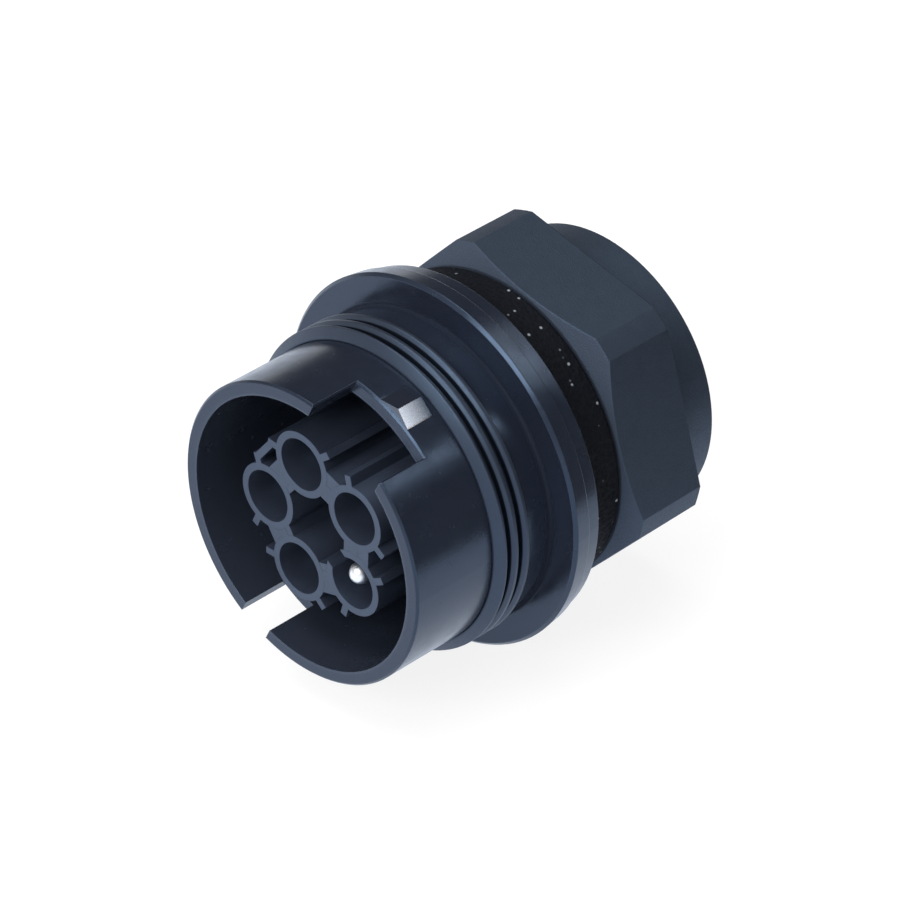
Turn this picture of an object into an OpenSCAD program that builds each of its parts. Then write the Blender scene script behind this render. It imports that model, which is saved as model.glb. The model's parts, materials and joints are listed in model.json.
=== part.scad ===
// Five pole panel mount power connector with a lock nut, in millimetres.
// The axis runs along Y: the mating face looks along -Y, the panel seats at Y = 0, and +Z is up.
// Inside the modules the axis is drawn along Z, from the rim to the rear, and turned on to Y at the end.
// Clock angles are seen from the front: 0 is straight up and 90 is towards +X.

/* [Shroud] */
// Outside diameter of the shroud that takes the plug
shroud_d = 29; // [27:0.1:32]
// Wall of the shroud
shroud_wall = 1.35; // [1:0.05:2]
// Bevel on the outer edge of the rim
rim_bevel = 0.2; // [0.1:0.05:0.6]
// Clock angle of the wide key slot
key_clock = 26; // [-180:1:180]
// Width of the key slot
key_w = 8.9; // [6:0.1:11]
// Depth of the key slot behind the rim
key_depth = 5.2; // [3:0.05:6]
// Width of the narrow slot opposite the key slot
slot_w = 3.4; // [2:0.1:5]
// Depth of the narrow slot behind the rim
slot_depth = 5.4; // [3:0.05:6]
// Bevel along the outer edges of both slots
slot_bevel = 0.2; // [0.1:0.05:0.6]

/* [Catch] */
// Width of the latch catch behind the key slot
catch_w = 3.5; // [2:0.1:5]
// Length of the latch catch
catch_len = 3; // [2:0.1:4]
// Height of the catch's ridge over the shroud
catch_h = 0.55; // [0.3:0.05:1]
// Slope of the ramp at the catch's front, in degrees
catch_slope = 70; // [20:1:75]
// Land between the key slot's bevel and the catch
catch_front_land = 0.02; // [0.02:0.02:2]
// Land between the catch and the coupling seal
catch_rear_land = 0.63; // [0.3:0.01:2]

/* [Coupling seal] */
// Radial height of the seal's lips over the shroud
lip_h = 1.1; // [0.8:0.05:1.6]
// Depth of the grooves beside the lips
lip_groove_depth = 0.5; // [0.2:0.05:0.7]
// Width of those grooves
lip_groove_w = 0.6; // [0.2:0.05:0.7]
// Bevel on the front of the lips behind the grooves
lip_bevel = 0.35; // [0.1:0.05:0.45]
// Pitch of the lips
lip_pitch = 1.1; // [0.8:0.05:1.6]
// Number of lips behind the lead-in
lip_count = 2; // [1:1:4]
// Height of the seal's blunt front face
lead_front_h = 0.1; // [0.05:0.05:0.6]
// Length of the lead-in cone
lead_cone_len = 1.05; // [0.4:0.05:1.5]
// Length of the land behind the cone
lead_land_len = 0.1; // [0.06:0.02:1]

/* [Flange] */
// Step from the shroud up to the neck that stops the seal
neck_step = 0.5; // [0.3:0.05:0.8]
// Length of the neck between the seal and the flange
neck_len = 3.42; // [2:0.01:5]
// Fillet between the neck and the flange
neck_fillet = 0.25; // [0.1:0.05:1.5]
// Thickness of the flange
flange_t = 3.63; // [3:0.01:5]
// Land of the flange outside the gasket
flange_rim = 2; // [1:0.1:4]
// Draft of the flange's edge, in degrees
flange_draft = 6; // [0:0.5:10]
// Length of the flange's front band
flange_band = 1.9; // [1:0.1:2.4]
// Step between the flange's two bands
flange_step = 0.27; // [0.1:0.01:0.5]
// Bevel on the flange's front edge
flange_bevel = 0.3; // [0.06:0.02:0.4]
// Bevel on the flange's rear edge
flange_edge = 0.12; // [0.06:0.02:0.4]

/* [Thread] */
// Outside diameter of the panel thread
thread_d = 25; // [24:0.5:27]
// Height of the thread over the plain sleeve
thread_h = 0.5; // [0.3:0.05:0.6]
// Length of the sleeve behind the panel seat
sleeve_len = 17.4; // [15:0.1:24]
// Lead bevel on the sleeve's rear end
sleeve_bevel = 0.6; // [0.2:0.05:0.8]

/* [Gasket] */
// Width of the gasket's ring
gasket_w = 2.7; // [1.5:0.1:4]
// Free thickness of the gasket
gasket_t = 5.6; // [3:0.1:7]
// Depth of its recess in the flange
gasket_recess = 0.6; // [0.3:0.05:1]
// Rounding of the gasket's edges
gasket_edge = 0.35; // [0.1:0.05:0.6]
// Clearance of the gasket over the thread and in its recess
gasket_clear = 0.1; // [0.05:0.01:0.2]

/* [Lock nut] */
// Wall between the thread and the nut's flats
nut_wall = 3.05; // [2:0.05:5]
// Length of the hexagon
nut_hex_len = 8.5; // [5:0.1:12]
// Clock angle of one corner
nut_clock = 43; // [-30:1:60]
// How much is turned off each corner
nut_corner_cut = 0.63; // [0.2:0.01:1]
// Inset of the front face's circle from the flats
nut_face_inset = 0.25; // [0.1:0.05:1]
// Slope of the front chamfer, in degrees
nut_chamfer = 27; // [15:1:40]
// Wall of the round collar behind the hexagon
collar_wall = 1.55; // [1:0.05:2.5]
// Length of the round collar
collar_len = 5; // [2:0.1:7]
// Rounding of the collar's rear edge
collar_edge = 0.2; // [0.1:0.05:0.8]
// Bevel at both ends of the nut's bore
nut_bore_bevel = 0.4; // [0.2:0.05:0.8]
// Gap between the nut and the gasket
nut_gap = 0.05; // [0.02:0.01:0.3]

/* [Contact carrier] */
// Diameter of the circle that the contacts stand on
contact_pcd = 11.9; // [11:0.1:12.6]
// Clock angle of the first contact
contact_clock = -15; // [-36:1:36]
// Bore of the tube around each pin
tube_bore = 5; // [4:0.1:5.5]
// Wall of each tube
tube_wall = 0.7; // [0.5:0.05:0.9]
// Distance of the tube mouths behind the rim
tube_set_back = 1.85; // [0.5:0.05:4]
// Thickness of the floor that closes each tube
tube_floor_t = 1.2; // [0.6:0.1:2]
// Thickness of the webs between neighbouring tubes
web_t = 1; // [0.6:0.1:1.6]
// Height of the coding ribs on each tube
rib_h = 1; // [0.5:0.1:1.4]
// Thickness of the coding ribs
rib_t = 0.7; // [0.5:0.05:1]
// Angle of the coding ribs from the tube's outward side
rib_angle = 68; // [60:1:75]
// Width of the slot in the earth tube, towards the axis
earth_slot_w = 2.5; // [1:0.1:3.5]
// Wall of the boss outside the tubes
boss_wall = 0.5; // [0.3:0.05:1]
// Thickness of the housing's floor around the boss
floor_t = 3.2; // [2.4:0.1:5]
// Distance of the carrier's shoulder in front of the panel seat
seat_set_in = 1; // [0.5:0.1:2]
// Height of that shoulder
seat_step = 0.75; // [0.5:0.05:1]
// Thickness of the carrier's flange
carrier_flange_t = 1.4; // [1:0.1:3]
// Clearance of the carrier in the housing
carrier_clear = 0.1; // [0.05:0.01:0.2]
// Width of the tab that stops the carrier turning
tab_w = 2.4; // [1.5:0.1:4]
// Height of that tab in front of the flange
tab_h = 1; // [0.5:0.1:1.6]
// Clearance of the tab in its notch
tab_clear = 0.1; // [0.05:0.01:0.2]
// Cord thickness of the carrier's seal
cord_d = 1.1; // [0.8:0.05:1.3]
// Clearance of the cord in its groove
cord_clear = 0.02; // [0.01:0.01:0.05]

/* [Contacts] */
// Diameter of the pins
pin_d = 2; // [1.5:0.1:2.4]
// Step from the pin up to the shank that holds it in the carrier
shank_step = 0.2; // [0.1:0.05:0.5]
// Depth of the earth pin's tip behind the tube mouths
earth_tip_depth = 0.3; // [0.1:0.1:3]
// How far the earth contact stands inward of its tube's middle
earth_set_in = 0.45; // [0:0.05:0.6]
// Depth of the other tips behind the tube mouths
pin_tip_depth = 4; // [2.6:0.1:7]
// Wire bore of the crimp barrels
barrel_bore = 2.7; // [2:0.1:3]
// Wall of the crimp barrels
barrel_wall = 0.55; // [0.4:0.05:0.7]
// Depth of the wire bore
barrel_depth = 6.5; // [4:0.1:7]
// Length of the barrels behind the retainer
barrel_len = 7.6; // [7:0.1:10]
// Diameter of the inspection hole in each barrel
sight_d = 0.9; // [0.5:0.1:1.2]
// Step from the barrel up to its collar
collar_step = 0.3; // [0.2:0.05:0.6]
// Thickness of the collar that the retainer traps
collar_t = 2; // [1:0.1:3]
// Clearance of a contact in the carrier and the retainer
contact_clear = 0.05; // [0.02:0.01:0.1]

/* [Retainer] */
// Thickness of the plate behind the contacts' collars
trap_t = 1; // [0.8:0.1:3]
// Thickness of the ring that holds the plate
ring_t = 2.6; // [1.6:0.1:4]
// Clearance between the ring and the barrels
ring_clear = 0.45; // [0.2:0.05:0.8]
// Number of spanner notches in the ring
notch_count = 4; // [2:1:6]
// Width of the spanner notches
notch_w = 2; // [1:0.1:3]
// Depth of the spanner notches
notch_depth = 1.2; // [0.6:0.1:1.5]

/* [Hidden] */
$fn = 96;
contact_count = 5;
// Places in the circle of contacts: the earth contact, and the pair whose ribs a wall joins
earth_place = 2;
wall_place = 4;
// How far a cutter reaches past the face that it cuts
cut = 1;
// How deep the tab is rooted in the carrier
carrier_root = 0.4;

shroud_r = shroud_d / 2;
mating_r = shroud_r - shroud_wall;
catch_set_back = key_depth + slot_bevel + catch_front_land;
shroud_len = catch_set_back + catch_len + catch_rear_land;
lead_len = lead_cone_len + lead_land_len;
seal_len = lead_len + lip_count * lip_pitch;
neck_r = shroud_r + neck_step;
flange_front = -flange_t;
neck_front = flange_front - neck_len;
seal_front = neck_front - seal_len;
rim = seal_front - shroud_len;

thread_r = thread_d / 2;
core_r = thread_r - thread_h;
gasket_in_r = thread_r + gasket_clear;
gasket_out_r = gasket_in_r + gasket_w;
gasket_front = -gasket_recess;
gasket_rear = gasket_front + gasket_t;
recess_r = gasket_out_r + gasket_clear;
flange_rear_r = recess_r + flange_rim;
flange_mid_r = flange_rear_r + (flange_t - flange_band) * tan(flange_draft);
flange_front_r = flange_mid_r + flange_step + flange_band * tan(flange_draft);

nut_front = gasket_rear + nut_gap;
nut_flat_r = thread_r + nut_wall;
nut_corner_r = nut_flat_r / cos(30) - nut_corner_cut;
nut_face_r = nut_flat_r - nut_face_inset;
nut_chamfer_len = (nut_corner_r - nut_face_r) * tan(nut_chamfer);
nut_hex_rear = nut_front + nut_hex_len;
nut_rear = nut_hex_rear + collar_len;
collar_r = thread_r + collar_wall;

pitch_r = contact_pcd / 2;
step_angle = 360 / contact_count;
tube_r = tube_bore / 2 + tube_wall;
tube_mouth = rim + tube_set_back;
rib_reach = tube_r + rib_h;
boss_r = pitch_r + tube_r + boss_wall;
floor_r = boss_r + carrier_clear;
seat = -seat_set_in;
floor_front = seat - floor_t;
tube_len = floor_front - tube_mouth;
bore_floor = floor_front - tube_floor_t;
bore_r = floor_r + seat_step;
carrier_r = bore_r - carrier_clear;
carrier_rear = seat + carrier_flange_t;
tab_reach = carrier_r - boss_r - carrier_clear;
sleeve_lead = min(sleeve_bevel, (core_r - bore_r) / 2);
cord_ring_r = floor_r - cord_clear - cord_d / 2;
groove_r = cord_ring_r - cord_d / 2 - cord_clear;
groove_w = cord_d + 2 * cord_clear;
groove_mid = floor_front + (floor_t - tab_h - tab_clear) / 2;
groove_front = groove_mid - groove_w / 2;
groove_rear = groove_mid + groove_w / 2;

pin_r = pin_d / 2;
shank_r = pin_r + shank_step;
barrel_r = barrel_bore / 2 + barrel_wall;
collar_contact_r = barrel_r + collar_step;
retainer_t = collar_t + trap_t;
retainer_rear = carrier_rear + retainer_t;
barrel_rear = retainer_rear + barrel_len;
ring_in_r = pitch_r + barrel_r + ring_clear;
ring_rear = retainer_rear + ring_t;

plastic_black = [0.10, 0.11, 0.14];
plastic_matte = [0.20, 0.22, 0.27];
insert_grey = [0.16, 0.18, 0.22];
rubber_black = [0.06, 0.07, 0.08];
contact_silver = [0.80, 0.80, 0.78];

// Turns the drawing axis on to Y, with +Z of the part up
module on_axis() {
    rotate([-90, 0, 0])
        children();
}

// Turns a drawing whose outward side is +X to a clock angle
module clocked(angle) {
    rotate([0, 0, angle - 90])
        children();
}

// A ring with a plain rectangular section
module ring(inner, outer, front, rear) {
    translate([0, 0, front])
        difference() {
            cylinder(r = outer, h = rear - front);
            translate([0, 0, -cut])
                cylinder(r = inner, h = rear - front + 2 * cut);
        }
}

// Drawings placed at one tube, with +X outward
module at_tube(place) {
    clocked(contact_clock + place * step_angle)
        translate([pitch_r, 0, 0])
            children();
}

// Drawings placed at one contact, which is in the middle of its tube unless it is the earth contact
module at_contact(place) {
    inward = place == earth_place ? earth_set_in : 0;
    at_tube(place)
        translate([-inward, 0, 0])
            children();
}

module housing_section() {
    polygon([
        [mating_r, rim],
        [shroud_r - rim_bevel, rim],
        [shroud_r, rim + rim_bevel],
        [shroud_r, neck_front],
        [neck_r, neck_front],
        [neck_r, flange_front],
        [flange_front_r - flange_bevel, flange_front],
        [flange_front_r, flange_front + flange_bevel],
        [flange_mid_r + flange_step, flange_front + flange_band],
        [flange_mid_r, flange_front + flange_band],
        [flange_rear_r, -flange_edge],
        [flange_rear_r - flange_edge, 0],
        [recess_r, 0],
        [recess_r, gasket_front],
        [core_r, gasket_front],
        [core_r, sleeve_len - sleeve_lead],
        [core_r - sleeve_lead, sleeve_len],
        [bore_r, sleeve_len],
        [bore_r, seat],
        [floor_r, seat],
        [floor_r, floor_front],
        [mating_r, floor_front]
    ]);
    translate([neck_r, flange_front])
        difference() {
            translate([0, -neck_fillet])
                square(neck_fillet);
            translate([neck_fillet, -neck_fillet])
                circle(r = neck_fillet);
        }
}

// A slot that is open at the rim, with its outer edges bevelled
module shroud_slot(angle, width, depth) {
    flare_r = sqrt(shroud_r * shroud_r - width * width / 4) - slot_bevel;
    flare = shroud_r + cut - flare_r;
    clocked(angle) {
        translate([mating_r - cut, -width / 2, rim - cut])
            cube([shroud_wall + 2 * cut, width, depth + cut]);
        intersection() {
            translate([0, 0, rim - cut])
                linear_extrude(depth + slot_bevel + 2 * cut)
                    polygon([
                        [flare_r, -width / 2],
                        [flare_r + flare, -width / 2 - flare],
                        [flare_r + flare, width / 2 + flare],
                        [flare_r, width / 2]
                    ]);
            rotate_extrude()
                polygon([
                    [shroud_r - slot_bevel, rim - cut],
                    [shroud_r + cut, rim - cut],
                    [shroud_r + cut, rim + depth + slot_bevel + cut],
                    [shroud_r - slot_bevel, rim + depth]
                ]);
        }
    }
}

// The catch is a low ridge along the axis with a ramp in front, rooted in the shroud's wall
module latch_catch() {
    root_r = shroud_r - shroud_wall / 2;
    foot_r = sqrt(shroud_r * shroud_r - catch_w * catch_w / 4);
    catch_front = rim + catch_set_back;
    clocked(key_clock)
        difference() {
            translate([0, 0, catch_front])
                linear_extrude(catch_len)
                    polygon([
                        [root_r, -catch_w / 2],
                        [foot_r, -catch_w / 2],
                        [shroud_r + catch_h, 0],
                        [foot_r, catch_w / 2],
                        [root_r, catch_w / 2]
                    ]);
            rotate([90, 0, 0])
                linear_extrude(2 * catch_w, center = true)
                    polygon([
                        [shroud_r, catch_front - cut],
                        [shroud_r, catch_front],
                        [shroud_r + catch_len * tan(catch_slope), catch_front + catch_len],
                        [shroud_r + catch_len * tan(catch_slope), catch_front - cut]
                    ]);
        }
}

module housing() {
    color(plastic_black)
        on_axis()
            difference() {
                union() {
                    rotate_extrude()
                        housing_section();
                    latch_catch();
                }
                shroud_slot(key_clock, key_w, key_depth);
                shroud_slot(key_clock + 180, slot_w, slot_depth);
                clocked(key_clock)
                    translate([floor_r - cut, -tab_w / 2 - tab_clear, seat - tab_h - tab_clear])
                        cube([seat_step + cut, tab_w + 2 * tab_clear, tab_h + tab_clear + cut]);
            }
}

module coupling_seal() {
    lip_r = shroud_r + lip_h;
    color(rubber_black)
        on_axis()
            rotate_extrude()
                difference() {
                    polygon([
                        [shroud_r, seal_front],
                        [shroud_r + lead_front_h, seal_front],
                        [lip_r, seal_front + lead_cone_len],
                        [lip_r, neck_front],
                        [shroud_r, neck_front]
                    ]);
                    for (i = [0 : lip_count - 1])
                        translate([lip_r, seal_front + lead_len + i * lip_pitch])
                            polygon([
                                [-lip_groove_depth, 0],
                                [cut, 0],
                                [cut, lip_groove_w + lip_bevel + cut],
                                [-lip_bevel, lip_groove_w],
                                [-lip_groove_depth, lip_groove_w]
                            ]);
                }
}

// A tube with its two coding ribs, in outline
module tube_outline(place) {
    at_tube(place) {
        circle(r = tube_r);
        for (side = [-1, 1])
            rotate(side * rib_angle)
                translate([0, -rib_t / 2])
                    square([rib_reach, rib_t]);
    }
}

// A web from one tube's axis to the next, in section
module web_section(place) {
    half_step = step_angle / 2;
    clocked(contact_clock + (place + 0.5) * step_angle)
        translate([pitch_r * cos(half_step) - web_t / 2, -pitch_r * sin(half_step)])
            square([web_t, 2 * pitch_r * sin(half_step)]);
}

// The wall that joins the facing ribs of two tubes and closes a small pocket, in section
module pocket_section() {
    half_step = step_angle / 2;
    lean = rib_angle - half_step;
    wall_r = pitch_r * cos(half_step) + rib_reach * cos(lean);
    wall_half = pitch_r * sin(half_step) - rib_reach * sin(lean);
    clocked(contact_clock + (wall_place + 0.5) * step_angle)
        translate([wall_r - rib_t, -wall_half - rib_t / 2])
            square([rib_t, 2 * wall_half + rib_t]);
}

// A tube and the web that reaches the next one, filled
module tube_section(place) {
    difference() {
        union() {
            tube_outline(place);
            web_section(place);
            if (place == wall_place)
                pocket_section();
        }
        tube_outline(place + 1);
    }
}

// A tube with a blind bore, the floor that its contact stands in, and a slot if it is the earth tube
module pin_tube(place) {
    bore_len = tube_len - tube_floor_t;
    color(insert_grey)
        on_axis()
            translate([0, 0, tube_mouth])
                difference() {
                    linear_extrude(tube_len)
                        tube_section(place);
                    at_tube(place)
                        translate([0, 0, -cut])
                            cylinder(d = tube_bore, h = bore_len + cut);
                    if (place == earth_place)
                        at_tube(place)
                            translate([-tube_r - cut, -earth_slot_w / 2, -cut])
                                cube([tube_r + cut, earth_slot_w, bore_len + cut]);
                    at_contact(place)
                        translate([0, 0, bore_len - cut])
                            cylinder(r = shank_r + contact_clear, h = tube_floor_t + 2 * cut);
                }
}

// Holes for the shanks of all contacts
module shank_holes(front, rear) {
    for (i = [0 : contact_count - 1])
        at_contact(i)
            translate([0, 0, front - cut])
                cylinder(r = shank_r + contact_clear, h = rear - front + 2 * cut);
}

// The boss in the housing's floor, the flange at its rear and the tab

module contact_carrier() {
    color(insert_grey)
        on_axis()
            difference() {
                union() {
                    translate([0, 0, groove_rear])
                        cylinder(r = boss_r, h = carrier_rear - groove_rear);
                    translate([0, 0, seat])
                        cylinder(r = carrier_r, h = carrier_flange_t);
                    clocked(key_clock)
                        translate([boss_r - carrier_root, -tab_w / 2, seat - tab_h])
                            cube([tab_reach + carrier_root, tab_w, tab_h + carrier_root]);
                }
                shank_holes(groove_rear, carrier_rear);
            }
}

// The cap in front of the boss, which carries the tubes and leaves a groove for the seal
module carrier_cap() {
    color(insert_grey)
        on_axis()
            difference() {
                union() {
                    translate([0, 0, floor_front])
                        cylinder(r = boss_r, h = groove_front - floor_front);
                    translate([0, 0, floor_front])
                        cylinder(r = groove_r, h = groove_rear - floor_front);
                }
                shank_holes(floor_front, groove_rear);
            }
}

// A turned contact: round tip, pin, shank, collar and crimp barrel
module contact(place, tip_depth) {
    tip = tube_mouth + tip_depth;
    wire_floor = barrel_rear - barrel_depth;
    color(contact_silver)
        on_axis()
            at_contact(place)
                difference() {
                    union() {
                        translate([0, 0, tip + pin_r]) {
                            sphere(r = pin_r);
                            cylinder(r = pin_r, h = carrier_rear - tip - pin_r);
                        }
                        translate([0, 0, bore_floor])
                            cylinder(r = shank_r, h = retainer_rear - bore_floor);
                        translate([0, 0, carrier_rear])
                            cylinder(r = collar_contact_r, h = collar_t);
                        translate([0, 0, carrier_rear])
                            cylinder(r = barrel_r, h = barrel_rear - carrier_rear);
                    }
                    translate([0, 0, wire_floor])
                        cylinder(r = barrel_bore / 2, h = barrel_depth + cut);
                    translate([0, 0, wire_floor + sight_d])
                        rotate([0, 90, 0])
                            cylinder(d = sight_d, h = barrel_r + cut);
                }
}

module carrier_seal() {
    color(rubber_black)
        on_axis()
            translate([0, 0, groove_mid])
                rotate_extrude()
                    translate([cord_ring_r, 0])
                        circle(d = cord_d);
}

module contact_retainer() {
    color(insert_grey)
        on_axis()
            difference() {
                translate([0, 0, carrier_rear])
                    cylinder(r = carrier_r, h = retainer_t);
                for (i = [0 : contact_count - 1])
                    at_contact(i)
                        translate([0, 0, carrier_rear - cut]) {
                            cylinder(r = barrel_r + contact_clear, h = retainer_t + 2 * cut);
                            cylinder(r = collar_contact_r + contact_clear, h = collar_t + cut);
                        }
            }
}

module retaining_ring() {
    color(plastic_black)
        on_axis()
            difference() {
                ring(ring_in_r, carrier_r, retainer_rear, ring_rear);
                for (i = [0 : notch_count - 1])
                    clocked(key_clock + i * 360 / notch_count)
                        translate([ring_in_r - cut, -notch_w / 2, ring_rear - notch_depth])
                            cube([carrier_r - ring_in_r + 2 * cut, notch_w, notch_depth + cut]);
            }
}

module panel_gasket() {
    color(rubber_black)
        on_axis()
            rotate_extrude()
                polygon([
                    [gasket_in_r, gasket_front],
                    [gasket_out_r - gasket_edge, gasket_front],
                    [gasket_out_r, gasket_front + gasket_edge],
                    [gasket_out_r, gasket_rear - gasket_edge],
                    [gasket_out_r - gasket_edge, gasket_rear],
                    [gasket_in_r, gasket_rear]
                ]);
}

module nut_blank() {
    rotate_extrude()
        polygon([
            [0, nut_front],
            [nut_face_r, nut_front],
            [nut_corner_r, nut_front + nut_chamfer_len],
            [nut_corner_r, nut_hex_rear],
            [0, nut_hex_rear]
        ]);
}

module nut_collar() {
    rotate_extrude()
        polygon([
            [0, nut_hex_rear - cut],
            [collar_r, nut_hex_rear - cut],
            [collar_r, nut_rear - collar_edge],
            [collar_r - collar_edge, nut_rear],
            [0, nut_rear]
        ]);
}

module nut_bore() {
    rotate_extrude()
        polygon([
            [0, nut_front - cut],
            [thread_r + nut_bore_bevel + cut, nut_front - cut],
            [thread_r, nut_front + nut_bore_bevel],
            [thread_r, nut_rear - nut_bore_bevel],
            [thread_r + nut_bore_bevel + cut, nut_rear + cut],
            [0, nut_rear + cut]
        ]);
}

module lock_nut() {
    color(plastic_matte)
        on_axis()
            difference() {
                union() {
                    intersection() {
                        nut_blank();
                        clocked(nut_clock)
                            translate([0, 0, nut_front])
                                cylinder(r = nut_flat_r / cos(30), h = nut_hex_len, $fn = 6);
                    }
                    nut_collar();
                }
                nut_bore();
            }
}

housing();
coupling_seal();
contact_carrier();
carrier_cap();
pin_tube(0);  // pin_tube_1
pin_tube(1);  // pin_tube_2
pin_tube(2);  // earth_tube
pin_tube(3);  // pin_tube_3
pin_tube(4);  // pin_tube_4
contact(0, pin_tip_depth);  // contact_pin_1
contact(1, pin_tip_depth);  // contact_pin_2
contact(2, earth_tip_depth);  // earth_pin
contact(3, pin_tip_depth);  // contact_pin_3
contact(4, pin_tip_depth);  // contact_pin_4
carrier_seal();
contact_retainer();
retaining_ring();
panel_gasket();
lock_nut();
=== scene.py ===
"""Looks of the panel mount connector: materials, small moulded forms, camera, floor and studio light."""
import json
import math
import bmesh
import bpy
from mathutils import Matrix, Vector


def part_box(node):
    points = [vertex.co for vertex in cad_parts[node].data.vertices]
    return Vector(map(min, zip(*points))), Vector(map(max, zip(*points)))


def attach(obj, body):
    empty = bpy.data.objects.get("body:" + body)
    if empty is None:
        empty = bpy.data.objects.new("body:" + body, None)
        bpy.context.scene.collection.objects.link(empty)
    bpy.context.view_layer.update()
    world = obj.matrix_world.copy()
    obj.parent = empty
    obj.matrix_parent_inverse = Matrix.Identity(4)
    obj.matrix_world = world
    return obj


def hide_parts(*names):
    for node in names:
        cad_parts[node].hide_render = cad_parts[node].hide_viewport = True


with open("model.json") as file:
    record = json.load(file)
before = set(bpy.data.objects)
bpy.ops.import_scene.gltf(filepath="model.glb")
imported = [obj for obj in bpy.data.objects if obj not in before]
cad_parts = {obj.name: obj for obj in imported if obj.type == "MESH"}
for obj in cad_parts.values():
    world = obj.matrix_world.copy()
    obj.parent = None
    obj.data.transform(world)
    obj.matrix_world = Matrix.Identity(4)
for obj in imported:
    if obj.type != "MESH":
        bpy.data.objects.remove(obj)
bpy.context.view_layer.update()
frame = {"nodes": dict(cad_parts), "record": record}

MM = 0.001

# Sizes of the model, read from the frame
SLEEVE_END_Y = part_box("housing")[1].y
FLOOR_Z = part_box("housing")[0].z
NUT_FRONT_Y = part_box("lock_nut")[0].y
NUT_REAR_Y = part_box("lock_nut")[1].y

# Panel thread
THREAD_R = 12.5 * MM
CORE_R = 12.0 * MM
THREAD_PITCH = 1.5 * MM
THREAD_CLEAR = 0.05 * MM
THREAD_ROOT = 0.05 * MM
RIDGE_ROOT_W = 0.9 * MM
RIDGE_CREST_W = 0.28 * MM
THREAD_SEGMENTS = 96
THREAD_FRONT_Y = 0.8 * MM
THREAD_END_LAND = 0.9 * MM
TAPER_TURNS = 0.5
LEAST_RISE = 0.02
SHARP_ANGLE = math.radians(35)

# Latch catch, which begins at the edge of the key slot
SHROUD_R = 14.5 * MM
KEY_CLOCK = math.radians(26)
CATCH_W = 3.5 * MM
CATCH_H = 0.55 * MM
CATCH_COVER = 0.011 * MM
CATCH_SINK = 0.1 * MM
CATCH_RAMP = 0.2 * MM
CATCH_FRONT_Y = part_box("housing")[0].y + 5.42 * MM
CATCH_REAR_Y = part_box("coupling_seal")[0].y - 0.62 * MM

# Coupling seal
SEAL_FRONT_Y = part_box("coupling_seal")[0].y
NECK_FRONT_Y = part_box("coupling_seal")[1].y
SEAL_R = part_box("coupling_seal")[1].x
NECK_R = 15 * MM
SEAL_FRONT_H = 0.2 * MM
SEAL_CONE_LEN = 0.6 * MM
SEAL_LEAD_LEN = 0.8 * MM
LIP_COUNT = 2
LIP_PITCH = 1.4 * MM
LIP_GROOVE_W = 0.75 * MM
LIP_GROOVE_DEPTH = 0.85 * MM
LIP_BEVEL = 0.3 * MM
LIP_EDGE = 0.08 * MM
SEAL_SEGMENTS = 160

# Corner between the neck and the flange
FLANGE_FRONT_Y = -3.63 * MM
CORNER_R = 0.45 * MM

# Webs between the contact tubes
CONTACT_COUNT = 5
CONTACT_CLOCK = math.radians(-15)
PITCH_R = 5.95 * MM
TUBE_R = 3.2 * MM
WEB_T = 3 * MM
WEB_SET_OUT = 0.3 * MM
WEB_SET_BACK = 0.01 * MM
WEB_SINK = 0.25 * MM
WEB_POINTS = 12

# Colour sockets of a Mix node
MIX_FIRST = 6
MIX_SECOND = 7
MIX_RESULT = 2

# Range in which most of a noise lies
NOISE_LOW = 0.3
NOISE_HIGH = 0.7

# Colours of the materials: pairs are mixed by a noise
HOUSING_COLOURS = ((0.011, 0.014, 0.023), (0.015, 0.019, 0.031))
HOUSING_INSIDE_PAINTED_LIGHT = (0.024, 0.03, 0.045)
HOUSING_EDGE_HIGHLIGHT = (0.075, 0.09, 0.12)
NUT_COLOURS = ((0.009, 0.011, 0.0155), (0.0125, 0.015, 0.021))
NUT_CHAMFER_LIGHT = (0.028, 0.033, 0.045)
INSERT_COLOURS = ((0.025, 0.031, 0.048), (0.032, 0.04, 0.06))
SEAL_COLOURS = ((0.014, 0.0165, 0.025), (0.019, 0.0225, 0.033))
SEAL_GROOVE_SHADE = (0.004, 0.005, 0.008)
GASKET_COLOURS = ((0.002, 0.0026, 0.004), (0.0075, 0.0092, 0.014))
GASKET_GLINT = (0.3, 0.33, 0.36)
SILVER_COLOURS = ((0.92, 0.94, 0.96), (0.97, 0.985, 1))

# Tint of reflections on the blue-black plastics and rubbers
COOL_TINT = (0.46, 0.67, 1, 1)

# Gloss of the housing, which fades out in the corner at the flange
CORNER_ROUGHNESS = 0.75
PLAIN_SPECULAR = 0.5
CORNER_SPECULAR = 0.1

# Painted light: the shroud's inner wall is painted greyer so that its shade is less deep, from one depth
# below the outside to another
INSIDE_FULL_DEPTH = 1.25 * MM
INSIDE_START_DEPTH = 1.05 * MM

# Cosine of the turn of a rounded edge's normal where the painted edge highlight starts, and where it is
# full
EDGE_HIGHLIGHT_START = 0.94
EDGE_HIGHLIGHT_FULL = 0.75

# Gloss of the catch, from its front to its rear
CATCH_COAT = (0.7, 0)
CATCH_ROUGHNESS = (0.1, 0.24)

# Forward turn of a face of the nut where the painted light on the chamfer starts, and where it is full
CHAMFER_LIGHT_START = -0.2
CHAMFER_LIGHT_FULL = -0.4

# Depths below the seal's lips where the painted shade of the grooves is full, and where it starts
GROOVE_SHADE_FULL_DEPTH = 0.4 * MM
GROOVE_SHADE_START_DEPTH = 0.25 * MM

# Pores of the gasket, and painted glints: cell size, share of the cells and size within a cell
PORE_SIZE = 0.5 * MM
PORE_DEEP = 0.6
SPECK_CELL = 0.75 * MM
SPECK_CHOICE = (0.66, 0.7)
SPECK_REACH = (0.12, 0.24)

# Floor
FLOOR_SIZE = 6
FLOOR_GLOW = 0.86
FLOOR_SEEN = (1, 1, 1, 1)
FLOOR_REFLECTED = (0.95, 1.05, 1.22, 1)
FLOOR_SHADE = (0.2, 0.2, 0.2, 1)
FLOOR_BOUNCE = (0.8, 0.8, 0.8, 1)

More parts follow.
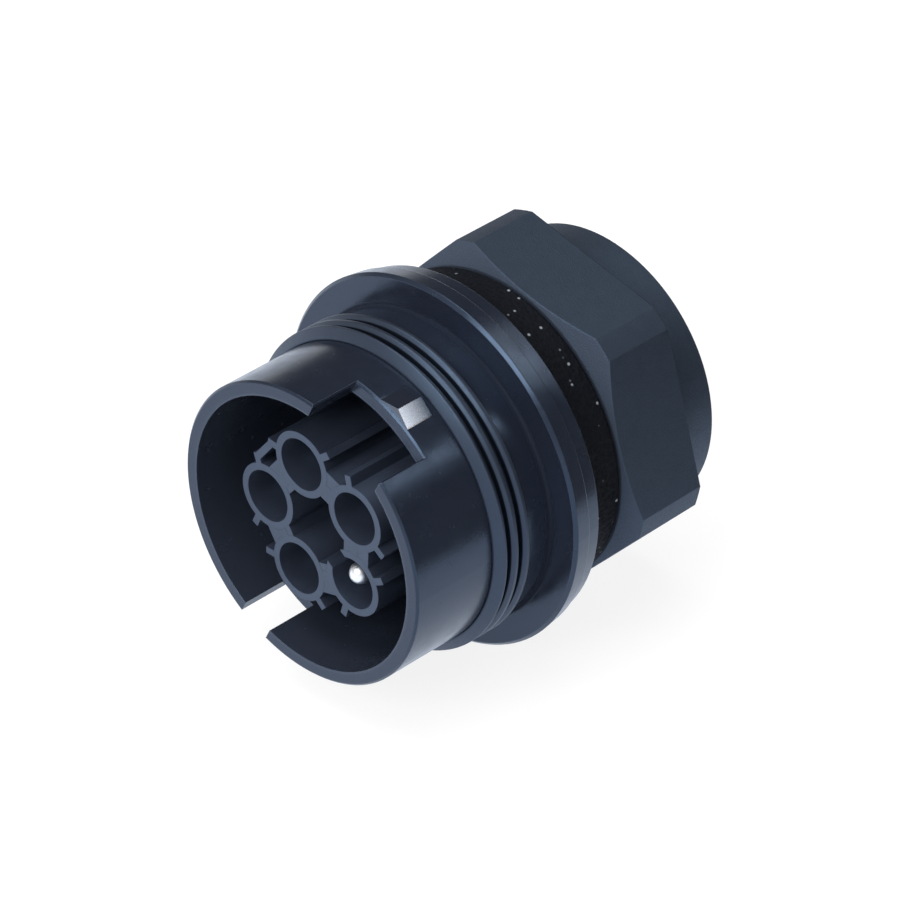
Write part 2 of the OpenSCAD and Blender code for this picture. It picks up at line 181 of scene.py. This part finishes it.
# Studio walls: place from front to rear and brightness, and the heights where the white horizon ends
WALL_STOPS = ((0.2, (0.5, 0.5, 0.5, 1)), (0.5, (0.05, 0.05, 0.05, 1)))
HORIZON_COLOUR = (1, 1, 1, 1)
HORIZON_LOW = 0.11
HORIZON_HIGH = 0.18

# Soft boxes: name, direction, distance, width, height and power
SOFTBOXES = (
    ("overhead", (-0.1, -0.15, 1), 1.0, 0.9, 0.9, 9),
    ("front", (0.1, -0.8, 0.6), 1.0, 0.6, 0.4, 5),
    ("strip", (0.59, 0.572, 0.568), 0.9, 0.5, 0.035, 0.48),
    ("behind", (0.12, 0.8, 0.59), 1.0, 0.5, 0.16, 0.75),
)

# Camera, fitted to the photograph
CAMERA_TARGET_Y = -19.2 * MM
CAMERA_AZIMUTH = math.radians(44.7)
CAMERA_ELEVATION = math.radians(34.15)
CAMERA_DISTANCE = 390.2 * MM
CAMERA_RIGHT = 12.88 * MM
CAMERA_UP = 7.27 * MM
CAMERA_LENS = 180
CAMERA_SENSOR = 36

# Dark card that the near side of the shroud reflects
CARD_SIDE = Vector((0.79, 0.61, 0))
CARD_DISTANCE = 68 * MM
CARD_WIDTH = 150 * MM
CARD_HEIGHT = 40 * MM
CARD_COLOUR = (0.12, 0.12, 0.12, 1)
CARD_ROUGHNESS = 0.9


def node_adder(tree):
    """A function that adds a node to a tree, and links or sets its inputs."""
    def add(kind, inputs=None, **settings):
        made = tree.nodes.new(kind)
        for key, value in settings.items():
            setattr(made, key, value)
        for key, value in (inputs or {}).items():
            if isinstance(value, bpy.types.NodeSocket):
                tree.links.new(value, made.inputs[key])
            else:
                made.inputs[key].default_value = value
        return made

    return add


def make_material(name):
    """A node material with a Principled shader, and helpers that add nodes and join them to it."""
    material = bpy.data.materials.new(name)
    material.use_nodes = True
    tree = material.node_tree
    shader = tree.nodes["Principled BSDF"]
    add = node_adder(tree)

    def join(source, target):
        tree.links.new(source, shader.inputs[target])

    place = add("ShaderNodeTexCoord").outputs["Object"]
    return material, shader, add, join, place


def noise(add, place, size, detail=3.0, roughness=0.5):
    """Noise whose blotches are about the given size."""
    return add("ShaderNodeTexNoise", {"Vector": place, "Scale": 1 / size, "Detail": detail,
                                      "Roughness": roughness}).outputs["Fac"]


def span(add, value, low, high, out_low, out_high):
    """Maps a range of a value on to another range."""
    return add("ShaderNodeMapRange", {"Value": value, "From Min": low, "From Max": high,
                                      "To Min": out_low, "To Max": out_high}).outputs["Result"]


def spread(add, value, low, high):
    """Maps a noise on to a range."""
    return span(add, value, NOISE_LOW, NOISE_HIGH, low, high)


def blend_colour(add, factor, first, second):
    """A mix of two colours, of which the first may be a node's output."""
    start = first if isinstance(first, bpy.types.NodeSocket) else (*first, 1)
    mixed = add("ShaderNodeMix", {"Factor": factor, MIX_FIRST: start, MIX_SECOND: (*second, 1)},
                data_type="RGBA")
    return mixed.outputs[MIX_RESULT]


def combine(add, operation, first, second, clamp=False):
    """The result of a sum on two values."""
    return add("ShaderNodeMath", {0: first, 1: second}, operation=operation,
               use_clamp=clamp).outputs["Value"]


def soft_edges(add, radius):
    """Normals that round the edges by the given radius."""
    return add("ShaderNodeBevel", {"Radius": radius}, samples=6).outputs["Normal"]


def bump(add, height, depth, strength, normal):
    """Bump of the given depth on top of other normals."""
    return add("ShaderNodeBump", {"Height": height, "Distance": depth, "Strength": strength,
                                  "Normal": normal}).outputs["Normal"]


def part_along(add, vector):
    """The share of a vector that lies along the connector's axis."""
    return add("ShaderNodeSeparateXYZ", {"Vector": vector}).outputs["Y"]


def from_axis(add, place):
    """Distance from the connector's axis."""
    flat = add("ShaderNodeVectorMath", {0: place, 1: (1, 0, 1)}, operation="MULTIPLY")
    return add("ShaderNodeVectorMath", {0: flat.outputs["Vector"]}, operation="LENGTH").outputs["Value"]


def near_corner(add, place):
    """1 in the corner between the neck and the flange, and 0 a little away from it."""
    beside = combine(add, "SUBTRACT", from_axis(add, place), NECK_R)
    ahead = combine(add, "SUBTRACT", part_along(add, place), FLANGE_FRONT_Y)
    offset = add("ShaderNodeCombineXYZ", {"X": beside, "Y": ahead}).outputs["Vector"]
    away = add("ShaderNodeVectorMath", {0: offset}, operation="LENGTH").outputs["Value"]
    return span(add, away, CORNER_R / 2, CORNER_R, 1, 0)


def edge_highlight(add, normal):
    """1 along the edges that the given normals round, and 0 on plain faces: where highlights are painted.
    """
    plain = add("ShaderNodeNewGeometry").outputs["Normal"]
    turned = add("ShaderNodeVectorMath", {0: normal, 1: plain}, operation="DOT_PRODUCT")
    return span(add, turned.outputs["Value"], EDGE_HIGHLIGHT_START, EDGE_HIGHLIGHT_FULL, 0, 1)


def set_gloss(shader, ior):
    """Cool reflections, as blue-black plastic and rubber have them."""
    shader.inputs["IOR"].default_value = ior
    shader.inputs["Specular Tint"].default_value = COOL_TINT


def housing_plastic():
    """Moulded blue-black plastic with a satin gloss, with painted light that makes it greyer inside, and
    painted highlights along its edges.
    """
    material, shader, add, join, place = make_material("housing_plastic")
    cloud = noise(add, place, size=5 * MM)
    grain = noise(add, place, size=0.25 * MM, detail=2.0)
    rounded_normal = soft_edges(add, radius=0.12 * MM)
    outside = blend_colour(add, cloud, *HOUSING_COLOURS)
    # Painted light: the inner wall is painted greyer where shade falls inside the shroud
    painted_inside_light = span(add, from_axis(add, place), SHROUD_R - INSIDE_FULL_DEPTH,
                  SHROUD_R - INSIDE_START_DEPTH, 1, 0)
    faces = blend_colour(add, painted_inside_light, outside, HOUSING_INSIDE_PAINTED_LIGHT)
    corner = near_corner(add, place)
    # Painted highlight: rounded edges are painted paler, except in the corner at the flange
    painted_edge_highlight = combine(add, "SUBTRACT", edge_highlight(add, rounded_normal), corner, clamp=True)
    join(blend_colour(add, painted_edge_highlight, faces, HOUSING_EDGE_HIGHLIGHT), "Base Color")
    satin = spread(add, noise(add, place, size=1.6 * MM), low=0.19, high=0.28)
    join(span(add, corner, 0, 1, satin, CORNER_ROUGHNESS), "Roughness")
    join(span(add, corner, 0, 1, PLAIN_SPECULAR, CORNER_SPECULAR), "Specular IOR Level")
    join(bump(add, grain, depth=0.02 * MM, strength=0.25, normal=rounded_normal), "Normal")
    set_gloss(shader, ior=1.6)
    return material


def catch_plastic():
    """The housing's plastic as it is on the catch: polished, and duller towards the rear."""
    material, shader, add, join, place = make_material("catch_plastic")
    cloud = noise(add, place, size=2 * MM)
    join(blend_colour(add, cloud, *HOUSING_COLOURS), "Base Color")
    along = part_along(add, place)
    join(span(add, along, CATCH_FRONT_Y, CATCH_REAR_Y, *CATCH_COAT), "Coat Weight")
    join(span(add, along, CATCH_FRONT_Y, CATCH_REAR_Y, *CATCH_ROUGHNESS), "Roughness")
    join(soft_edges(add, radius=0.1 * MM), "Normal")
    set_gloss(shader, ior=1.6)
    shader.inputs["Coat IOR"].default_value = 2
    shader.inputs["Coat Roughness"].default_value = 0.1
    return material


def nut_plastic():
    """Moulded plastic with a fine matte grain, with painted light that makes the forward-facing chamfer
    paler.
    """
    material, shader, add, join, place = make_material("nut_plastic")
    cloud = noise(add, place, size=1.3 * MM, detail=4.0, roughness=0.6)
    grain = noise(add, place, size=0.16 * MM, detail=3.0, roughness=0.6)
    flats = blend_colour(add, spread(add, cloud, low=0, high=1), *NUT_COLOURS)
    # Painted light: faces of the nut that turn forward, towards the front lamp, are painted paler
    facing = part_along(add, add("ShaderNodeNewGeometry").outputs["Normal"])
    chamfer_light = span(add, facing, CHAMFER_LIGHT_START, CHAMFER_LIGHT_FULL, 0, 1)
    join(blend_colour(add, chamfer_light, flats, NUT_CHAMFER_LIGHT), "Base Color")
    join(spread(add, grain, low=0.5, high=0.66), "Roughness")
    edges = soft_edges(add, radius=0.2 * MM)
    join(bump(add, grain, depth=0.06 * MM, strength=0.6, normal=edges), "Normal")
    set_gloss(shader, ior=1.8)
    return material


def insert_plastic():
    """Moulded dark grey plastic of the contact insert."""
    material, shader, add, join, place = make_material("insert_plastic")
    cloud = noise(add, place, size=2 * MM)
    grain = noise(add, place, size=0.2 * MM)
    join(blend_colour(add, cloud, *INSERT_COLOURS), "Base Color")
    join(spread(add, grain, low=0.34, high=0.46), "Roughness")
    edges = soft_edges(add, radius=0.08 * MM)
    join(bump(add, grain, depth=0.03 * MM, strength=0.3, normal=edges), "Normal")
    set_gloss(shader, ior=1.7)
    return material


def seal_rubber():
    """Smooth black rubber with a dull sheen, with painted shade that makes it darker in the grooves
    between the lips.
    """
    material, shader, add, join, place = make_material("seal_rubber")
    cloud = noise(add, place, size=1.5 * MM)
    grain = noise(add, place, size=0.18 * MM)
    faces = blend_colour(add, cloud, *SEAL_COLOURS)
    # Painted shade: the grooves between the lips are painted darker
    groove_shade_depth = span(add, from_axis(add, place), SEAL_R - GROOVE_SHADE_FULL_DEPTH,
                SEAL_R - GROOVE_SHADE_START_DEPTH, 1, 0)
    behind_cone = span(add, part_along(add, place), SEAL_FRONT_Y + SEAL_CONE_LEN,
                       SEAL_FRONT_Y + SEAL_LEAD_LEN, 0, 1)
    groove = combine(add, "MULTIPLY", groove_shade_depth, behind_cone)
    join(blend_colour(add, groove, faces, SEAL_GROOVE_SHADE), "Base Color")
    join(spread(add, grain, low=0.36, high=0.48), "Roughness")
    edges = soft_edges(add, radius=0.08 * MM)
    join(bump(add, grain, depth=0.03 * MM, strength=0.3, normal=edges), "Normal")
    set_gloss(shader, ior=1.7)
    return material


def gasket_rubber():
    """Dull black cellular rubber with open pores and a few painted glints as bright specks."""
    material, shader, add, join, place = make_material("gasket_rubber")
    pores = add("ShaderNodeTexVoronoi", {"Vector": place, "Scale": 1 / PORE_SIZE}).outputs["Distance"]
    grain = noise(add, place, size=0.3 * MM, detail=4.0, roughness=0.65)
    # Painted glints: a few cells get a bright speck in the base colour
    cell = add("ShaderNodeTexVoronoi", {"Vector": place, "Scale": 1 / SPECK_CELL})
    chosen = span(add, cell.outputs["Color"], *SPECK_CHOICE, 0, 1)
    spot = span(add, cell.outputs["Distance"], *SPECK_REACH, 1, 0)
    painted_glint = combine(add, "MULTIPLY", chosen, spot)
    dark = blend_colour(add, grain, *GASKET_COLOURS)
    join(blend_colour(add, painted_glint, dark, GASKET_GLINT), "Base Color")
    join(span(add, pores, 0, PORE_DEEP, 0.95, 0.7), "Roughness")
    hollow = combine(add, "ADD", pores, grain)
    edges = soft_edges(add, radius=0.2 * MM)
    join(bump(add, hollow, depth=0.15 * MM, strength=0.8, normal=edges), "Normal")
    shader.inputs["Specular IOR Level"].default_value = 0.1
    return material


def contact_plating():
    """Silver plating with fine turning marks and a faint tarnish."""
    material, shader, add, join, place = make_material("contact_plating")
    cloud = noise(add, place, size=1.2 * MM)
    turned = add("ShaderNodeMapping", {"Vector": place, "Scale": (1, 12, 1)}).outputs["Vector"]
    marks = noise(add, turned, size=0.5 * MM, detail=2.0)
    join(blend_colour(add, cloud, *SILVER_COLOURS), "Base Color")
    join(spread(add, marks, low=0.3, high=0.44), "Roughness")
    edges = soft_edges(add, radius=0.08 * MM)
    join(bump(add, marks, depth=0.01 * MM, strength=0.3, normal=edges), "Normal")
    shader.inputs["Metallic"].default_value = 1
    return material


def dress_nodes(materials):
    """Gives every CAD node the material of its slot in the record."""
    for entry in frame["record"]["subparts"]:
        mesh = frame["nodes"][entry["node"]].data
        mesh.materials.clear()
        mesh.materials.append(materials[entry["material_slot"]])


def make_object(name, mesh, material):
    """An object with the given mesh and material, smooth apart from its sharp edges."""
    bmesh.ops.recalc_face_normals(mesh, faces=mesh.faces)
    data = bpy.data.meshes.new(name)
    mesh.to_mesh(data)
    mesh.free()
    data.shade_smooth()
    data.set_sharp_from_angle(angle=SHARP_ANGLE)
    data.materials.append(material)
    made = bpy.data.objects.new(name, data)
    bpy.context.scene.collection.objects.link(made)
    return made


def join_rings(mesh, first, second):
    """Faces between two rings of as many points."""
    for k in range(len(first)):
        n = (k + 1) % len(first)
        mesh.faces.new((first[k], first[n], second[n], second[k]))


def prism(mesh, outline, front, rear):
    """A closed prism along the axis, from an outline across it. Returns the points of its front."""
    ends = [[mesh.verts.new((x, along, z)) for x, z in outline] for along in (front, rear)]
    join_rings(mesh, *ends)
    mesh.faces.new(ends[0])
    mesh.faces.new(list(reversed(ends[1])))
    return ends[0]


def across(clock, out, beside):
    """A point across the axis, from its distances outward and clockwise at a clock angle."""
    x = out * math.sin(clock) + beside * math.cos(clock)
    z = out * math.cos(clock) - beside * math.sin(clock)
    return (x, z)


def rounded(outline, radius, steps=4):
    """A closed outline with its corners rounded."""
    points = [Vector(point) for point in outline]
    made = []
    for before, corner, after in zip(points[-1:] + points, points, points[1:] + points[:1]):
        start = corner + (before - corner).normalized() * radius
        end = corner + (after - corner).normalized() * radius
        for k in range(steps + 1):
            t = k / steps
            made.append(start.lerp(corner, t).lerp(corner.lerp(end, t), t))
    return made


def helix_ridge(name, base_r, crest_r, front, rear, phase, material):
    """A ridge along a right-hand helix round the Y axis, tapered off at both ends."""
    turns = (rear - front) / THREAD_PITCH
    count = round(turns * THREAD_SEGMENTS)
    mesh = bmesh.new()
    rings = []
    for i in range(count + 1):
        turn = i / THREAD_SEGMENTS
        rise = min(1, turn / TAPER_TURNS, (turns - turn) / TAPER_TURNS)
        top_r = base_r + (crest_r - base_r) * max(rise, LEAST_RISE)
        angle = 2 * math.pi * (turn + front / THREAD_PITCH + phase)
        middle = front + turn * THREAD_PITCH
        out = Vector((math.sin(angle), 0, math.cos(angle)))
        section = [(base_r, -RIDGE_ROOT_W / 2), (top_r, -RIDGE_CREST_W / 2),
                   (top_r, RIDGE_CREST_W / 2), (base_r, RIDGE_ROOT_W / 2)]
        rings.append([mesh.verts.new(out * r + Vector((0, middle + along, 0))) for r, along in section])
    for first, second in zip(rings, rings[1:]):
        join_rings(mesh, first, second)
    mesh.faces.new(rings[0])
    mesh.faces.new(list(reversed(rings[-1])))
    return make_object(name, mesh, material)


def make_threads(materials):
    """The thread on the sleeve, and the nut's own thread half a pitch away in its grooves."""
    sleeve = helix_ridge("sleeve_thread", CORE_R - THREAD_ROOT, THREAD_R - THREAD_CLEAR, THREAD_FRONT_Y,
                         SLEEVE_END_Y - THREAD_END_LAND, 0, materials["housing_plastic"])
    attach(sleeve, "connector")
    nut = helix_ridge("nut_thread", THREAD_R + THREAD_ROOT, CORE_R + THREAD_CLEAR,
                      NUT_FRONT_Y + THREAD_END_LAND, NUT_REAR_Y - THREAD_END_LAND, 0.5,
                      materials["nut_plastic"])
    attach(nut, "nut")


def make_webs(materials):
    """The broad webs between neighbouring tubes, sunk a little into the tubes' walls."""
    half_step = math.pi / CONTACT_COUNT
    middle = PITCH_R * math.cos(half_step)
    half_gap = PITCH_R * math.sin(half_step)
    mouth, floor = (corner.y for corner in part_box("pin_tube_1"))
    side = []
    for i in range(WEB_POINTS + 1):
        out = middle + WEB_SET_OUT + WEB_T * (i / WEB_POINTS - 0.5)
        reach = half_gap - math.sqrt((TUBE_R - WEB_SINK) ** 2 - (out - middle) ** 2)
        side.append((out, reach))
    mesh = bmesh.new()
    for place in range(CONTACT_COUNT):
        clock = CONTACT_CLOCK + (2 * place + 1) * half_step
        outline = [across(clock, out, reach) for out, reach in side]
        outline += [across(clock, out, -reach) for out, reach in reversed(side)]
        prism(mesh, outline, mouth + WEB_SET_BACK, floor)
    webs = make_object("tube_webs", mesh, materials["insert_plastic"])
    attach(webs, "connector")


def make_seal(materials):
    """The coupling seal: a lead-in cone and lips with bevelled fronts, which ends on the neck."""
    rear = SEAL_FRONT_Y + SEAL_LEAD_LEN + LIP_COUNT * LIP_PITCH
    groove_r = SEAL_R - LIP_GROOVE_DEPTH
    outline = [(SHROUD_R, SEAL_FRONT_Y), (SHROUD_R + SEAL_FRONT_H, SEAL_FRONT_Y),
               (SEAL_R, SEAL_FRONT_Y + SEAL_CONE_LEN)]
    for i in range(LIP_COUNT):
        groove = SEAL_FRONT_Y + SEAL_LEAD_LEN + i * LIP_PITCH
        lip = groove + LIP_GROOVE_W
        outline += [(SEAL_R, groove), (groove_r, groove), (groove_r, lip),
                    (SEAL_R - LIP_BEVEL, lip), (SEAL_R, lip + LIP_BEVEL)]
    outline += [(SEAL_R, rear), (NECK_R, rear), (NECK_R, NECK_FRONT_Y), (SHROUD_R, NECK_FRONT_Y)]
    section = rounded(outline, LIP_EDGE)
    mesh = bmesh.new()
    rings = []
    for i in range(SEAL_SEGMENTS):
        clock = 2 * math.pi * i / SEAL_SEGMENTS
        ring = [mesh.verts.new((r * math.sin(clock), along, r * math.cos(clock))) for r, along in section]
        rings.append(ring)
    for first, second in zip(rings, rings[1:] + rings[:1]):
        join_rings(mesh, first, second)
    seal = make_object("seal_lips", mesh, materials["seal_rubber"])
    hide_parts("coupling_seal")
    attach(seal, "connector")


def make_catch():
    """The catch's ridge, carried on to the edge of the key slot, with a steep front."""
    half_w = CATCH_W / 2
    foot_r = math.sqrt(SHROUD_R ** 2 - half_w ** 2)
    fall = (SHROUD_R + CATCH_H - foot_r) / half_w
    crest_r = SHROUD_R + CATCH_H + CATCH_COVER
    half_base = half_w + CATCH_SINK
    base_r = crest_r - fall * half_base
    section = [(crest_r, 0), (base_r, half_base), (base_r, -half_base)]
    mesh = bmesh.new()
    outline = [across(KEY_CLOCK, out, beside) for out, beside in section]
    crest = prism(mesh, outline, CATCH_FRONT_Y, CATCH_REAR_Y)[0]
    crest.co.y += CATCH_RAMP
    catch = make_object("catch_ridge", mesh, catch_plastic())
    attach(catch, "connector")


def make_floor():
    """A plain white floor that keeps the object's shadow, a little cooler in reflections."""
    material = bpy.data.materials.new("floor")
    material.use_nodes = True
    tree = material.node_tree
    tree.nodes.clear()
    add = node_adder(tree)
    path = add("ShaderNodeLightPath").outputs
    seen = combine(add, "ADD", path["Is Camera Ray"], path["Is Glossy Ray"])
    seen_all = combine(add, "ADD", seen, path["Is Transmission Ray"], clamp=True)
    tint = add("ShaderNodeMix", {"Factor": path["Is Camera Ray"], MIX_FIRST: FLOOR_REFLECTED,
                                 MIX_SECOND: FLOOR_SEEN}, data_type="RGBA").outputs[MIX_RESULT]
    white = add("ShaderNodeEmission", {"Color": tint, "Strength": FLOOR_GLOW}).outputs["Emission"]
    shade = add("ShaderNodeBsdfDiffuse", {"Color": FLOOR_SHADE}).outputs["BSDF"]
    shown = add("ShaderNodeAddShader", {0: white, 1: shade}).outputs["Shader"]
    bounce = add("ShaderNodeBsdfDiffuse", {"Color": FLOOR_BOUNCE}).outputs["BSDF"]
    choice = add("ShaderNodeMixShader", {"Fac": seen_all, 1: bounce, 2: shown}).outputs["Shader"]
    add("ShaderNodeOutputMaterial", {"Surface": choice})
    bpy.ops.mesh.primitive_plane_add(size=FLOOR_SIZE, location=(0, 0, FLOOR_Z))
    floor = bpy.context.object
    floor.name = "floor"
    floor.data.materials.append(material)


def make_card():
    """A dark card behind on the right, seen only in reflections, for the near side of the shroud."""
    material = bpy.data.materials.new("card")
    material.use_nodes = True
    shader = material.node_tree.nodes["Principled BSDF"]
    shader.inputs["Base Color"].default_value = CARD_COLOUR
    shader.inputs["Roughness"].default_value = CARD_ROUGHNESS
    bpy.ops.mesh.primitive_plane_add(size=1)
    card = bpy.context.object
    card.name = "card"
    card.dimensions = (CARD_WIDTH, CARD_HEIGHT, 0)
    card.location = CARD_SIDE * CARD_DISTANCE + Vector((0, 0, FLOOR_Z + CARD_HEIGHT / 2))
    card.rotation_euler = CARD_SIDE.to_track_quat("Z", "Y").to_euler()
    card.data.materials.append(material)
    card.visible_camera = False
    card.visible_diffuse = False
    card.visible_shadow = False


def make_world():
    """A studio that is white low on the horizon, grey in front and dim behind."""
    world = bpy.data.worlds.new("studio")
    bpy.context.scene.world = world
    world.use_nodes = True
    tree = world.node_tree
    add = node_adder(tree)
    place = add("ShaderNodeTexCoord").outputs["Generated"]
    split = add("ShaderNodeSeparateXYZ", {"Vector": place}).outputs
    wall = add("ShaderNodeValToRGB", {"Fac": span(add, split["Y"], -1, 1, 0, 1)})
    for stop, (position, colour) in zip(wall.color_ramp.elements, WALL_STOPS):
        stop.position = position
        stop.color = colour
    height = span(add, split["Z"], HORIZON_LOW, HORIZON_HIGH, 0, 1)
    sky = add("ShaderNodeMix", {"Factor": height, MIX_FIRST: HORIZON_COLOUR,
                                MIX_SECOND: wall.outputs["Color"]}, data_type="RGBA")
    tree.links.new(sky.outputs[MIX_RESULT], tree.nodes["Background"].inputs["Color"])


def add_softbox(name, direction, distance, width, height, power):
    """An area lamp in the given direction from the object, turned towards it."""
    lamp = bpy.data.lights.new(name, "AREA")
    lamp.shape = "RECTANGLE"
    lamp.size = width
    lamp.size_y = height
    lamp.energy = power
    holder = bpy.data.objects.new(name, lamp)
    holder.location = Vector(direction).normalized() * distance
    holder.rotation_euler = Vector(direction).to_track_quat("Z", "Y").to_euler()
    bpy.context.scene.collection.objects.link(holder)


def make_lights():
    """Soft studio light: boxes overhead, in front and low behind, and a thin strip behind on the right."""
    for softbox in SOFTBOXES:
        add_softbox(*softbox)


def make_camera():
    """The photograph's own view."""
    azimuth, elevation = CAMERA_AZIMUTH, CAMERA_ELEVATION
    right = Vector((math.cos(azimuth), math.sin(azimuth), 0))
    ahead = Vector((-math.sin(azimuth) * math.cos(elevation), math.cos(azimuth) * math.cos(elevation),
                    -math.sin(elevation)))
    up = right.cross(ahead)
    data = bpy.data.cameras.new("camera")
    data.lens = CAMERA_LENS
    data.sensor_width = CAMERA_SENSOR
    camera = bpy.data.objects.new("camera", data)
    target = Vector((0, CAMERA_TARGET_Y, 0)) + right * CAMERA_RIGHT + up * CAMERA_UP
    camera.location = target - ahead * CAMERA_DISTANCE
    camera.rotation_euler = ahead.to_track_quat("-Z", "Y").to_euler()
    bpy.context.scene.collection.objects.link(camera)
    bpy.context.scene.camera = camera


materials = {
    "housing_plastic": housing_plastic(),
    "nut_plastic": nut_plastic(),
    "insert_plastic": insert_plastic(),
    "seal_rubber": seal_rubber(),
    "gasket_rubber": gasket_rubber(),
    "contact_plating": contact_plating(),
}
make_camera()
dress_nodes(materials)
make_threads(materials)
make_webs(materials)
make_seal(materials)
make_catch()
make_floor()
make_card()
make_world()
make_lights()
bpy.context.scene.view_settings.view_transform = "Standard"
